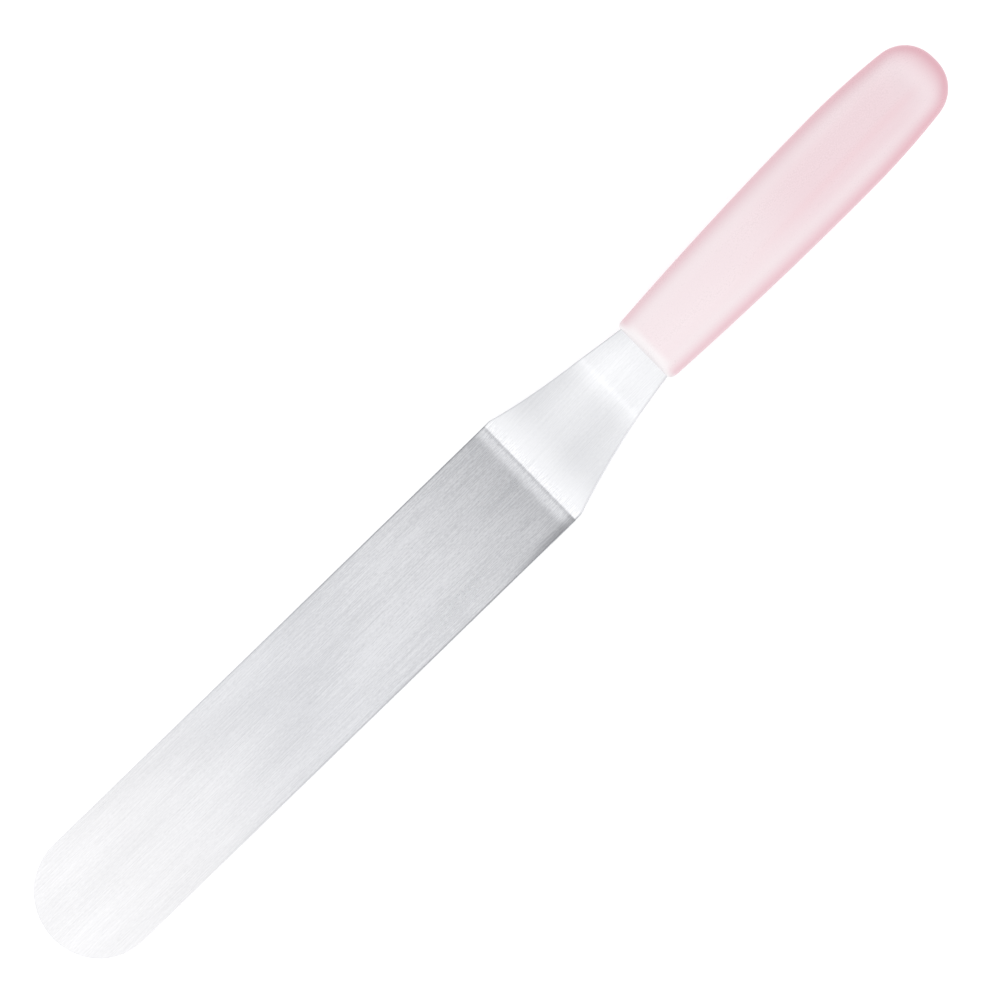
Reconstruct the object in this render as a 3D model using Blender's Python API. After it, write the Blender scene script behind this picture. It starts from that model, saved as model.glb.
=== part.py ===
"""Offset palette knife: a cranked stainless steel blade, and a plastic handle moulded over its hidden tang.

Run it with blender --background --python part.py, or from the text editor.

The blade is one sheet. It is blanked flat and bent twice: up at the heel, and back down at the neck, so
that the hand stays clear of the surface that the blade lies on. The sheet runs on into the handle as a
tang with three holes, and the handle's plastic fills those holes as pegs, which lock the two together.

Lengths are in metres. +X runs from the blade's tip to the handle's butt, +Y lies across the blade and
+Z points up. The origin is the middle of the blade's flat underside, on which the knife rests.
"""

import math

import bmesh
import bpy

MM = 0.001

# The blade, as seen from above
BLADE_LENGTH = 178.0 * MM  # from the tip to the crease at the heel
BLADE_TIP_WIDTH = 35.2 * MM  # where the rounded tip begins
BLADE_HEEL_WIDTH = 35.2 * MM
TIP_ROUND_LENGTH = 17.0 * MM  # the tip is half an ellipse, a little blunter than a half circle

# The sheet and its two bends
SHEET_THICKNESS = 1.2 * MM
SHEET_EDGE_ROUND = 0.25 * MM
STEP_RUN = 29.8 * MM  # from crease to crease, along X
STEP_RISE = 13.0 * MM
HEEL_BEND_INNER_RADIUS = 2.0 * MM
NECK_BEND_INNER_RADIUS = 12.0 * MM
HANDLE_PITCH = math.radians(10.0)  # the neck and the handle climb this much towards the butt

# The neck and its drawn-in shoulders
NECK_LENGTH = 13.6 * MM  # from the upper crease to the handle's front face
NECK_WIDTH = 17.5 * MM  # at the handle's front face
SHOULDER_START = 1.7 * MM  # from the crease at the heel, along the sheet
SHOULDER_HOLLOW = 0.88 * MM  # how far each shoulder curves in from a straight line
SHOULDER_SKEW = 0.23  # above 0, the hollow is deepest nearer to the blade

# The tang, hidden in the handle
TANG_LENGTH = 80.0 * MM
TANG_WIDTH = 11.0 * MM
TANG_FULL_WIDTH_LENGTH = 7.0 * MM  # this much of the tang is as wide as the neck
TANG_NARROWING_LENGTH = 9.0 * MM
TANG_HOLE_DIAMETER = 5.0 * MM
TANG_HOLE_COUNT = 3
TANG_HOLE_SPACING = 19.0 * MM
TANG_LAST_HOLE_FROM_END = 9.0 * MM
TANG_CLEARANCE = 0.3 * MM  # between the steel and the plastic, all round
PEG_ROOT = 1.5 * MM  # how far each peg runs on into the plastic on both sides of the tang

# The handle
HANDLE_LENGTH = 107.0 * MM
HANDLE_FRONT_MARGIN = 1.3 * MM  # the front face stands this far out on each side of the neck
HANDLE_BELLY_WIDTH = 24.7 * MM
HANDLE_BUTT_WIDTH = 19.3 * MM  # where the sides would meet the butt if it weren't rounded
HANDLE_FRONT_THICKNESS = 12.4 * MM
HANDLE_BELLY_THICKNESS = 15.6 * MM
HANDLE_BUTT_THICKNESS = 12.6 * MM
HANDLE_BELLY_AT = 72.8 * MM  # from the front face
HANDLE_FRONT_FLARE = 0.061  # growth of the half width for each unit of length, at the front face
HANDLE_LIP_RADIUS = 1.0 * MM
BUTT_ROUND_LENGTH = 9.4 * MM
BUTT_FULLNESS = 2.32  # exponent of the butt's rounded end: 2 is an ellipse
SECTION_FULLNESS = 2.5  # exponent of the cross-section: 2 is an ellipse

# How finely curves are cut into flat faces, and how they are shaded
POINT_WIDTH = 0.001 * MM  # a section narrower than this closes to a point
TIP_DIVISIONS = 18
BEND_DIVISIONS = 8
STEP_DIVISIONS = 8
NECK_DIVISIONS = 4
TANG_DIVISIONS = 8
HOLE_SIDES = 24
HANDLE_SIDES = 48
HANDLE_DIVISIONS = 34
LIP_DIVISIONS = 4
BUTT_DIVISIONS = 10
EDGE_DIVISIONS = 2
ROUNDED_EDGE_ANGLE = math.radians(60)  # edges of the sheet sharper than this are rounded
CRISP_EDGE_ANGLE = math.radians(35)  # edges sharper than this are shaded crisp

STEEL_COLOUR = (0.78, 0.79, 0.80, 1.0)
PLASTIC_COLOUR = (0.90, 0.70, 0.74, 1.0)


def clear_scene():
    """Removes every object that the file opened with."""
    for obj in list(bpy.data.objects):
        bpy.data.objects.remove(obj, do_unlink=True)


def make_material(name, colour, roughness, metallic):
    """A Principled BSDF with the given plain values."""
    material = bpy.data.materials.new(name)
    material.use_nodes = True
    shader = material.node_tree.nodes["Principled BSDF"]
    shader.inputs["Base Color"].default_value = colour
    shader.inputs["Roughness"].default_value = roughness
    shader.inputs["Metallic"].default_value = metallic
    return material


def object_from_bmesh(name, bm, material=None):
    """Puts a finished bmesh into the scene as an object with its faces pointing out."""
    bmesh.ops.recalc_face_normals(bm, faces=bm.faces)
    mesh = bpy.data.meshes.new(name)
    bm.to_mesh(mesh)
    bm.free()
    if material:
        mesh.materials.append(material)
    obj = bpy.data.objects.new(name, mesh)
    bpy.context.collection.objects.link(obj)
    return obj


def as_cutter(obj):
    """Keeps a shape that only cuts or joins another one out of the render."""
    obj.hide_render = True
    obj.display_type = "WIRE"
    return obj


def add_boolean(obj, other, operation):
    """Cuts or joins another object, exactly."""
    modifier = obj.modifiers.new(other.name, "BOOLEAN")
    modifier.operation = operation
    modifier.solver = "EXACT"
    modifier.object = other


def bridge_rings(bm, rings):
    """Joins each ring of vertices to the next. A ring may repeat a vertex, as at a point or an edge."""
    for ring, following in zip(rings, rings[1:]):
        for side in range(len(ring)):
            after = (side + 1) % len(ring)
            corners = (ring[side], ring[after], following[after], following[side])
            bm.faces.new(dict.fromkeys(corners))


def spaced(start, end, divisions):
    """Evenly spaced values from start to end. The start itself is left out."""
    return [start + (end - start) * step / divisions for step in range(1, divisions + 1)]


def sheet_runs():
    """The straight and bent runs of the sheet's middle plane, from the tip, as (length, turn) pairs."""
    step_angle = math.atan2(STEP_RISE, STEP_RUN)
    neck_turn = step_angle - HANDLE_PITCH
    heel_radius = HEEL_BEND_INNER_RADIUS + SHEET_THICKNESS / 2
    neck_radius = NECK_BEND_INNER_RADIUS + SHEET_THICKNESS / 2
    heel_setback = heel_radius * math.tan(step_angle / 2)
    neck_setback = neck_radius * math.tan(neck_turn / 2)
    return (
        (BLADE_LENGTH - heel_setback, 0.0),
        (heel_radius * step_angle, step_angle),
        (math.hypot(STEP_RUN, STEP_RISE) - heel_setback - neck_setback, 0.0),
        (neck_radius * neck_turn, -neck_turn),
        (NECK_LENGTH - neck_setback, 0.0),
        (TANG_LENGTH, 0.0),
    )


def run_ends():
    """Distances from the tip, along the sheet, at which its runs end."""
    ends = []
    total = 0.0
    for length, _ in sheet_runs():
        total += length
        ends.append(total)
    return ends


def place_on_sheet(distance):
    """(x, z, slope) of the sheet's middle plane at a distance from the tip along the sheet."""
    x, z, slope = -BLADE_LENGTH / 2, SHEET_THICKNESS / 2, 0.0
    for length, turn in sheet_runs():
        part = min(distance, length)
        if turn:
            radius = length / turn
            end_slope = slope + part / radius
            x += radius * (math.sin(end_slope) - math.sin(slope))
            z += radius * (math.cos(slope) - math.cos(end_slope))
            slope = end_slope
        else:
            x += part * math.cos(slope)
            z += part * math.sin(slope)
        distance -= part
        if distance <= 0:
            break
    return x, z, slope


def heel_crease():
    """Distance from the tip to the middle of the heel bend."""
    (flat, _), (bend, _) = sheet_runs()[:2]
    return flat + bend / 2


def blade_half_width(distance):
    """Half the blade's width: an elliptical tip, then two nearly parallel edges."""
    if distance < TIP_ROUND_LENGTH:
        from_centre = 1 - distance / TIP_ROUND_LENGTH
        return BLADE_TIP_WIDTH / 2 * math.sqrt(1 - from_centre**2)
    share = (distance - TIP_ROUND_LENGTH) / (heel_crease() - TIP_ROUND_LENGTH)
    return (BLADE_TIP_WIDTH + (BLADE_HEEL_WIDTH - BLADE_TIP_WIDTH) * share) / 2


def shoulder_half_width(distance):
    """Half the width between heel and handle: a straight line less a shallow, skewed hollow, from above."""
    start = place_on_sheet(heel_crease() + SHOULDER_START)[0]
    end = place_on_sheet(run_ends()[4])[0]
    share = max(0.0, (place_on_sheet(distance)[0] - start) / (end - start))
    straight = (BLADE_HEEL_WIDTH + (NECK_WIDTH - BLADE_HEEL_WIDTH) * share) / 2
    hollow = 4 * share * (1 - share) * (1 + SHOULDER_SKEW * (1 - 2 * share))
    return straight - SHOULDER_HOLLOW * hollow


def tang_half_width(depth):
    """Half the tang's width at a depth into the handle: neck width, a smooth narrowing, a round end."""
    from_end = TANG_LENGTH - depth
    end_radius = TANG_WIDTH / 2
    if from_end < end_radius:
        return math.sqrt(max(0.0, end_radius**2 - (end_radius - from_end) ** 2))
    share = (depth - TANG_FULL_WIDTH_LENGTH) / TANG_NARROWING_LENGTH
    share = min(max(share, 0.0), 1.0)
    eased = share * share * (3 - 2 * share)
    return (NECK_WIDTH + (TANG_WIDTH - NECK_WIDTH) * eased) / 2


def tang_depths():
    """Depths into the handle at which the tang's outline has a point, after its front end."""
    narrow = TANG_FULL_WIDTH_LENGTH + TANG_NARROWING_LENGTH
    end_radius = TANG_WIDTH / 2
    quarter = spaced(0.0, math.pi / 2, TANG_DIVISIONS)
    return (
        [TANG_FULL_WIDTH_LENGTH]
        + spaced(TANG_FULL_WIDTH_LENGTH, narrow, TANG_DIVISIONS)
        + [TANG_LENGTH - end_radius]
        + [TANG_LENGTH - end_radius + end_radius * math.sin(angle) for angle in quarter]
    )


def hole_depths():
    """Depths into the handle of the tang's holes."""
    last = TANG_LENGTH - TANG_LAST_HOLE_FROM_END
    return [last - TANG_HOLE_SPACING * number for number in range(TANG_HOLE_COUNT)]


def sheet_stations():
    """(distance from the tip, half width) of each place where the sheet's outline or slope changes."""
    flat_end, heel_end, step_end, neck_bend_end, front, _ = run_ends()
    stations = []
    for angle in [0.0] + spaced(0.0, math.pi / 2, TIP_DIVISIONS):
        distance = TIP_ROUND_LENGTH * (1 - math.cos(angle))
        stations.append((distance, blade_half_width(distance)))
    stations.append((flat_end, blade_half_width(flat_end)))
    for distance in spaced(flat_end, heel_crease(), BEND_DIVISIONS // 2):
        stations.append((distance, blade_half_width(distance)))
    shoulder = heel_crease() + SHOULDER_START
    after_crease = (
        spaced(heel_crease(), heel_end, BEND_DIVISIONS // 2)
        + [shoulder]
        + spaced(shoulder, step_end, STEP_DIVISIONS)
        + spaced(step_end, neck_bend_end, BEND_DIVISIONS)
        + spaced(neck_bend_end, front, NECK_DIVISIONS)
    )
    for distance in after_crease:
        stations.append((distance, shoulder_half_width(distance)))
    for depth, half_width in tang_outline()[1:]:
        stations.append((front + depth, half_width))
    return stations


def four_corners(bm, half_width, upper, lower):
    """A flat section's corners, from its upper and lower (x, z). They pair up where the width is nothing."""
    if half_width < POINT_WIDTH:
        top = bm.verts.new((upper[0], 0.0, upper[1]))
        bottom = bm.verts.new((lower[0], 0.0, lower[1]))
        return [top, top, bottom, bottom]
    corners = ((half_width, upper), (-half_width, upper), (-half_width, lower), (half_width, lower))
    return [bm.verts.new((place[0], y, place[1])) for y, place in corners]


def sheet_ring(bm, distance, half_width):
    """The sheet's four corners at one station, square to its middle plane."""
    x, z, slope = place_on_sheet(distance)
    out_x = -SHEET_THICKNESS / 2 * math.sin(slope)
    out_z = SHEET_THICKNESS / 2 * math.cos(slope)
    return four_corners(bm, half_width, (x + out_x, z + out_z), (x - out_x, z - out_z))


def handle_frame(obj):
    """Places an object with its origin on the handle's front face and its X axis along the handle."""
    x, z, slope = place_on_sheet(run_ends()[4])
    obj.location = (x, 0.0, z)
    obj.rotation_euler = (0.0, -slope, 0.0)


def round_rods(name, radius, half_length):
    """One upright cylinder for each of the tang's holes, in the handle's own frame."""
    bm = bmesh.new()
    for depth in hole_depths():
        made = bmesh.ops.create_cone(
            bm,
            cap_ends=True,
            segments=HOLE_SIDES,
            radius1=radius,
            radius2=radius,
            depth=2 * half_length,
        )
        bmesh.ops.translate(bm, verts=made["verts"], vec=(depth, 0.0, 0.0))
    return object_from_bmesh(name, bm)


def shade_round(obj):
    """Smooth shading, with the sharpest edges kept crisp."""
    obj.data.shade_smooth()
    obj.data.set_sharp_from_angle(angle=CRISP_EDGE_ANGLE)


def build_blade():
    """The blade, step, neck and tang: one sheet of steel, bent twice, with rounded edges."""
    bm = bmesh.new()
    rings = [sheet_ring(bm, distance, half_width) for distance, half_width in sheet_stations()]
    bridge_rings(bm, rings)
    steel = make_material("brushed_steel", STEEL_COLOUR, roughness=0.3, metallic=1.0)
    blade = object_from_bmesh("blade", bm, steel)
    shade_round(blade)
    edges = blade.modifiers.new("rounded_edges", "BEVEL")
    edges.width = SHEET_EDGE_ROUND
    edges.segments = EDGE_DIVISIONS
    edges.limit_method = "ANGLE"
    edges.angle_limit = ROUNDED_EDGE_ANGLE
    drill = as_cutter(round_rods("tang_hole_drill", TANG_HOLE_DIAMETER / 2, SHEET_THICKNESS))
    handle_frame(drill)
    add_boolean(blade, drill, "DIFFERENCE")
    return blade


def handle_half_size(x, front, belly, butt):
    """Half the handle's width or thickness at x, before its ends are rounded.

    It is a cubic that leaves the front face with a small flare and levels off at the belly, and then a
    parabola that falls away towards the butt.
    """
    if x < HANDLE_BELLY_AT:
        share = x / HANDLE_BELLY_AT
        rise = share * share * (3 - 2 * share)
        flare = share * (1 - share) ** 2 * HANDLE_BELLY_AT * HANDLE_FRONT_FLARE
        return (front + (belly - front) * rise) / 2 + flare
    share = (x - HANDLE_BELLY_AT) / (HANDLE_LENGTH - HANDLE_BELLY_AT)
    return (belly + (butt - belly) * share * share) / 2


def handle_stations():
    """(x, inset, shrink) of each ring: the lip insets the first ones, the round butt shrinks the last."""
    stations = []
    for angle in [0.0] + spaced(0.0, math.pi / 2, LIP_DIVISIONS):
        inset = HANDLE_LIP_RADIUS * (1 - math.sin(angle))
        stations.append((HANDLE_LIP_RADIUS * (1 - math.cos(angle)), inset, 1.0))
    butt_start = HANDLE_LENGTH - BUTT_ROUND_LENGTH
    for x in spaced(HANDLE_LIP_RADIUS, butt_start, HANDLE_DIVISIONS):
        stations.append((x, 0.0, 1.0))
    for angle in spaced(0.0, math.pi / 2, BUTT_DIVISIONS)[:-1]:
        along = math.sin(angle) ** (2 / BUTT_FULLNESS)
        shrink = math.cos(angle) ** (2 / BUTT_FULLNESS)
        stations.append((butt_start + BUTT_ROUND_LENGTH * along, 0.0, shrink))
    return stations


def rounded_power(value, exponent):
    """The value raised to an exponent, with its sign kept."""
    return math.copysign(abs(value) ** exponent, value)


def handle_ring(bm, x, inset, shrink):
    """One cross-section of the handle, an oval a little fuller than an ellipse."""
    front_width = NECK_WIDTH + 2 * HANDLE_FRONT_MARGIN
    width = handle_half_size(x, front_width, HANDLE_BELLY_WIDTH, HANDLE_BUTT_WIDTH)
    thickness = handle_half_size(
        x, HANDLE_FRONT_THICKNESS, HANDLE_BELLY_THICKNESS, HANDLE_BUTT_THICKNESS
    )
    width = (width - inset) * shrink
    thickness = (thickness - inset) * shrink
    ring = []
    for side in range(HANDLE_SIDES):
        angle = 2 * math.pi * side / HANDLE_SIDES
        y = width * rounded_power(math.cos(angle), 2 / SECTION_FULLNESS)
        z = thickness * rounded_power(math.sin(angle), 2 / SECTION_FULLNESS)
        ring.append(bm.verts.new((x, y, z)))
    return ring


def build_handle_body():
    """The handle's outer shape, closed: flat at the front, rounded at the butt."""
    bm = bmesh.new()
    rings = [handle_ring(bm, x, inset, shrink) for x, inset, shrink in handle_stations()]
    end = bm.verts.new((HANDLE_LENGTH, 0.0, 0.0))
    bridge_rings(bm, rings + [[end] * HANDLE_SIDES])
    bm.faces.new(rings[0])
    plastic = make_material("pink_plastic", PLASTIC_COLOUR, roughness=0.4, metallic=0.0)
    return object_from_bmesh("handle", bm, plastic)


def tang_outline():
    """(depth, half width) points along one side of the tang, from the handle's front face to its end."""
    return [(depth, tang_half_width(depth)) for depth in [0.0] + tang_depths()]


def grown_outline(points, clearance):
    """The same outline moved outwards, square to itself. It starts level and ends square to the middle."""
    grown = [(points[0][0], points[0][1] + clearance)]
    for before, point, after in zip(points, points[1:], points[2:]):
        along = after[0] - before[0]
        across = after[1] - before[1]
        reach = clearance / math.hypot(along, across)
        grown.append((point[0] - across * reach, point[1] + along * reach))
    grown.append((points[-1][0] + clearance, 0.0))
    return grown


def build_tang_pocket():
    """The space that the tang takes in the handle, with its clearance, open at the front face."""
    bm = bmesh.new()
    half_height = SHEET_THICKNESS / 2 + TANG_CLEARANCE
    outline = grown_outline(tang_outline(), TANG_CLEARANCE)
    outline.insert(0, (-HANDLE_LIP_RADIUS, outline[0][1]))
    rings = []
    for x, half_width in outline:
        rings.append(four_corners(bm, half_width, (x, half_height), (x, -half_height)))
    bridge_rings(bm, rings)
    bm.faces.new(rings[0])
    return object_from_bmesh("tang_pocket", bm)


def build_handle():
    """The moulded handle, with the tang's pocket and the pegs that fill the tang's holes."""
    handle = build_handle_body()
    handle_frame(handle)
    pocket = as_cutter(build_tang_pocket())
    pocket.parent = handle
    add_boolean(handle, pocket, "DIFFERENCE")
    peg_radius = TANG_HOLE_DIAMETER / 2 - TANG_CLEARANCE
    peg_half_length = SHEET_THICKNESS / 2 + TANG_CLEARANCE + PEG_ROOT
    pegs = as_cutter(round_rods("tang_pegs", peg_radius, peg_half_length))
    pegs.parent = handle
    add_boolean(handle, pegs, "UNION")
    shade_round(handle)
    return handle


clear_scene()
build_blade()
build_handle()
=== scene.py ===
# %% [markdown]
# # An offset palette knife, dressed for its photograph
#
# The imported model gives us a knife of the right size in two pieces: a cranked steel blade, and a plastic
# handle moulded over its tang. This lesson keeps their sizes and places and works on what the eye
# judges: how softly the sheet bends, how its edges catch the light, how the steel was brushed, and how a
# satin plastic handle carries a highlight.

# %% Load the frame
import math

import bmesh
import bpy
import numpy as np
from mathutils import Matrix, Vector


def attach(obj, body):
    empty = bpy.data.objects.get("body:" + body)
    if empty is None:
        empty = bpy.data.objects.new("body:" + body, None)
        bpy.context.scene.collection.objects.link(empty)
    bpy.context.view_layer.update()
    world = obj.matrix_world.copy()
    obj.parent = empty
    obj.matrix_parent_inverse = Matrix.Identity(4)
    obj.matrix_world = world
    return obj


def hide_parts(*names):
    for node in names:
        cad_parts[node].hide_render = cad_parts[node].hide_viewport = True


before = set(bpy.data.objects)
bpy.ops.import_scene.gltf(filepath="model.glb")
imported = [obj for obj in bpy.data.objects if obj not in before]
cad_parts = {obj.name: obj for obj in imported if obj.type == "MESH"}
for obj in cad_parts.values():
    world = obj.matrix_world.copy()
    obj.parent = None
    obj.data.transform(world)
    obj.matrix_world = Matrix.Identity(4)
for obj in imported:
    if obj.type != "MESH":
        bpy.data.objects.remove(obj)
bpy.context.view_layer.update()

MM = 0.001

# %% [markdown]
# ## Surfaces as grids
#
# Both pieces are surfaces of two parameters, so one small helper turns a grid of points into a mesh. It
# takes an array of rows and columns, joins each row to the next, closes the columns into rings, and then
# merges the points that fall together where a ring shrinks to nothing. We could sculpt these shapes by
# hand, but a formula keeps them exact, and one changed number redraws them.
#
# The helper stores two more things for the finishes. Named attributes carry places that follow the piece,
# such as the distance along the bent sheet. A UV map is the skin cut open along its underside and laid
# flat, which tells the shader which way the brushing runs.

# %% A mesh from a grid of points
MERGE_DISTANCE = 0.0005 * MM


def mesh_from_rings(name, points, material, notes):
    """A closed object from an array of rings, rows by columns by three.

    Point (row, column) joins (row, column + 1) and (row + 1, column), and the last column joins the
    first, so each row is a ring and the rings form a tube. Rings that shrink to a point or to a line
    close its ends once their doubled points are merged. Notes are arrays of the grid's shape, of numbers
    or of vectors, and become attributes of the same names.
    """
    rows, columns, _ = points.shape
    numbers = np.arange(rows * columns).reshape(rows, columns)
    after = np.roll(numbers, -1, axis=1)
    faces = np.stack([numbers[:-1], after[:-1], after[1:], numbers[1:]], axis=-1).reshape(-1, 4)
    mesh = bpy.data.meshes.new(name)
    mesh.from_pydata(points.reshape(-1, 3), [], faces)
    mesh.materials.append(material)
    for note, values in notes.items():
        kind, field = ("FLOAT_VECTOR", "vector") if values.ndim == 3 else ("FLOAT", "value")
        mesh.attributes.new(note, kind, "POINT").data.foreach_set(field, values.ravel())
    mesh.uv_layers.new(name="unrolled").data.foreach_set("uv", unrolled(points).ravel())
    piece = bpy.data.objects.new(name, mesh)
    bpy.context.scene.collection.objects.link(piece)
    close_and_turn_out(mesh)
    mesh.shade_smooth()
    return piece


def unrolled(points):
    """Flat places for the four corners of each face, in metres.

    U is the distance from row to row, averaged over the ring and added up. V is the distance round the
    ring, counted from half of it below nothing to half of it above.
    """
    between_rows = np.linalg.norm(np.diff(points, axis=0), axis=-1).mean(axis=1)
    u = np.concatenate([[0.0], np.cumsum(between_rows)])
    between_columns = np.linalg.norm(np.roll(points, -1, axis=1) - points, axis=-1)
    round_ring = np.cumsum(between_columns, axis=1)
    v = np.hstack([np.zeros((len(points), 1)), round_ring]) - round_ring[:, -1:] / 2
    place = np.stack([np.broadcast_to(u[:, None], v.shape), v], axis=-1)
    return np.stack([place[:-1, :-1], place[:-1, 1:], place[1:, 1:], place[1:, :-1]], axis=2)


def close_and_turn_out(mesh):
    """Merges doubled points, drops the faces that this leaves empty, and turns all faces outwards."""
    bm = bmesh.new()
    bm.from_mesh(mesh)
    bmesh.ops.remove_doubles(bm, verts=bm.verts, dist=MERGE_DISTANCE)
    bmesh.ops.dissolve_degenerate(bm, edges=bm.edges, dist=MERGE_DISTANCE / 2)
    bmesh.ops.recalc_face_normals(bm, faces=bm.faces)
    bm.to_mesh(mesh)
    bm.free()


# %% [markdown]
# ## The sheet, seen from the side
#
# Blade, step, neck and tang are one strip of steel. A press gives it a tight bend at the heel and a softer
# one at the neck, and the step between them keeps a slight bow. The simplest way to draw such a strip is
# to say how steeply it climbs at each distance from the tip, and to add up the small steps: the sum of
# the slope's cosines is X and the sum of its sines is Z. Bends are then plain ramps in the slope.

# %% Side profile sizes
BLADE_LENGTH = 178.0 * MM
SHEET_THICKNESS = 1.2 * MM
STEP_RUN = 29.8 * MM
STEP_RISE = 13.0 * MM
NECK_LENGTH = 13.6 * MM
TANG_LENGTH = 80.0 * MM
HANDLE_PITCH = math.radians(10.0)

HEEL_LEAD_LENGTH = 4.5 * MM  # the press lifts the sheet a little ahead of the crease
HEEL_LEAD_RISE = 3.3 * MM
HEEL_LEAD_ANGLE = math.radians(1.35)
CREASE_LENGTH = 1.3 * MM  # and leaves it flatter again right at the crease
CREASE_FALL = 0.9 * MM
CREASE_ANGLE = math.radians(0.5)
HEEL_BEND_LENGTH = 0.8 * MM
FOOT_SHORTFALL = math.radians(7.0)  # the step starts this much flatter than it becomes
FOOT_LENGTH = 14.0 * MM
NECK_EASE_LENGTH = 6.5 * MM  # the neck bend begins this gently, and this far ahead
NECK_EASE_ANGLE = math.radians(2.6)
NECK_BEND_LENGTH = 3.4 * MM
NECK_BEND_SHIFT = 0.6 * MM  # and its middle lies this far behind the corner of the two straight lines
PROFILE_POINTS = 8001
FIT_ROUNDS = 30


# %% Ramps
def ramp(distance, start, length):
    """Nothing before start, one past start + length, and a straight line between them."""
    return np.clip((distance - start) / length, 0.0, 1.0)


def eased(share):
    """A smooth step: flat at nothing and at one."""
    share = np.clip(share, 0.0, 1.0)
    return share * share * (3 - 2 * share)


# %% Drawing the profile
def draw_profile(step_angle, step_length):
    """Distances along the sheet, and X, Z and slope there.

    The slope is a sum of ramps: up by the small lead and flatter again at the crease, up to the foot of the
    step, on up to the full step angle, gently down ahead of the neck bend, and down through the bend to
    the handle's pitch.
    """
    total = BLADE_LENGTH + step_length + NECK_LENGTH + TANG_LENGTH
    along = np.linspace(0.0, total, PROFILE_POINTS)
    heel = BLADE_LENGTH - HEEL_BEND_LENGTH / 2
    foot = heel + HEEL_BEND_LENGTH
    neck = BLADE_LENGTH + step_length + NECK_BEND_SHIFT - NECK_BEND_LENGTH / 2
    slope = HEEL_LEAD_ANGLE * eased((along - heel + HEEL_LEAD_LENGTH) / HEEL_LEAD_RISE)
    slope -= (HEEL_LEAD_ANGLE - CREASE_ANGLE) * eased((along - heel + CREASE_LENGTH) / CREASE_FALL)
    slope += (step_angle - FOOT_SHORTFALL - CREASE_ANGLE) * ramp(along, heel, HEEL_BEND_LENGTH)
    slope += FOOT_SHORTFALL * (1 - (1 - ramp(along, foot, FOOT_LENGTH)) ** 2)
    slope -= NECK_EASE_ANGLE * ramp(along, neck - NECK_EASE_LENGTH, NECK_EASE_LENGTH) ** 3
    bend = step_angle - NECK_EASE_ANGLE - HANDLE_PITCH
    slope -= bend * eased((along - neck) / NECK_BEND_LENGTH)
    middle = (slope[1:] + slope[:-1]) / 2
    stride = along[1] - along[0]
    x = -BLADE_LENGTH / 2 + np.concatenate([[0.0], np.cumsum(np.cos(middle))]) * stride
    z = SHEET_THICKNESS / 2 + np.concatenate([[0.0], np.cumsum(np.sin(middle))]) * stride
    return along, x, z, slope


# %% Fitting the step
def fit_profile():
    """Turns and stretches the step until the sheet meets the handle's front face where the frame has it."""
    front_x = BLADE_LENGTH / 2 + STEP_RUN + NECK_LENGTH * math.cos(HANDLE_PITCH)
    front_z = SHEET_THICKNESS / 2 + STEP_RISE + NECK_LENGTH * math.sin(HANDLE_PITCH)
    angle = math.atan2(STEP_RISE, STEP_RUN)
    length = math.hypot(STEP_RUN, STEP_RISE)
    for _ in range(FIT_ROUNDS):
        along, x, z, slope = draw_profile(angle, length)
        front = BLADE_LENGTH + length + NECK_LENGTH
        gap_x = front_x - np.interp(front, along, x)
        gap_z = front_z - np.interp(front, along, z)
        length += gap_x * math.cos(angle) + gap_z * math.sin(angle)
        angle += (gap_z * math.cos(angle) - gap_x * math.sin(angle)) / length
    return (along, x, z, slope), angle, length


profile, step_angle, step_length = fit_profile()
handle_front = BLADE_LENGTH + step_length + NECK_LENGTH
print("step angle", round(math.degrees(step_angle), 2), "length in mm", round(step_length / MM, 2))


# %% Places on the sheet
def on_sheet(along, height):
    """X and Z of points at a distance along the sheet and a height square to its middle plane.

    The middle plane's place and slope are read off the profile, and the point lies the height away from
    it, at a right angle: X less the height times the sine, Z plus the height times the cosine.
    """
    distances, x, z, slope = profile
    lean = np.interp(along, distances, slope)
    x_middle = np.interp(along, distances, x)
    z_middle = np.interp(along, distances, z)
    return x_middle - height * np.sin(lean), z_middle + height * np.cos(lean)


# %% [markdown]
# ## The sheet, seen from above
#
# The outline is half an ellipse at the tip, two nearly parallel edges, and two shoulders that draw in to
# the neck along a shallow parabola. Inside the handle the tang narrows and ends round. We give it as half
# a width at each distance along the sheet, since both sides are alike.

# %% Outline sizes
TIP_WIDTH = 35.2 * MM
HEEL_WIDTH = 35.2 * MM
NECK_WIDTH = 17.5 * MM
TANG_WIDTH = 11.0 * MM
TIP_ROUND_LENGTH = 17.0 * MM
SHOULDER_START = 1.7 * MM
SHOULDER_HOLLOW = 0.88 * MM
SHOULDER_SKEW = 0.23
TANG_SHOULDER_DEPTH = 7.0 * MM
TANG_NARROWING_LENGTH = 9.0 * MM


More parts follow.
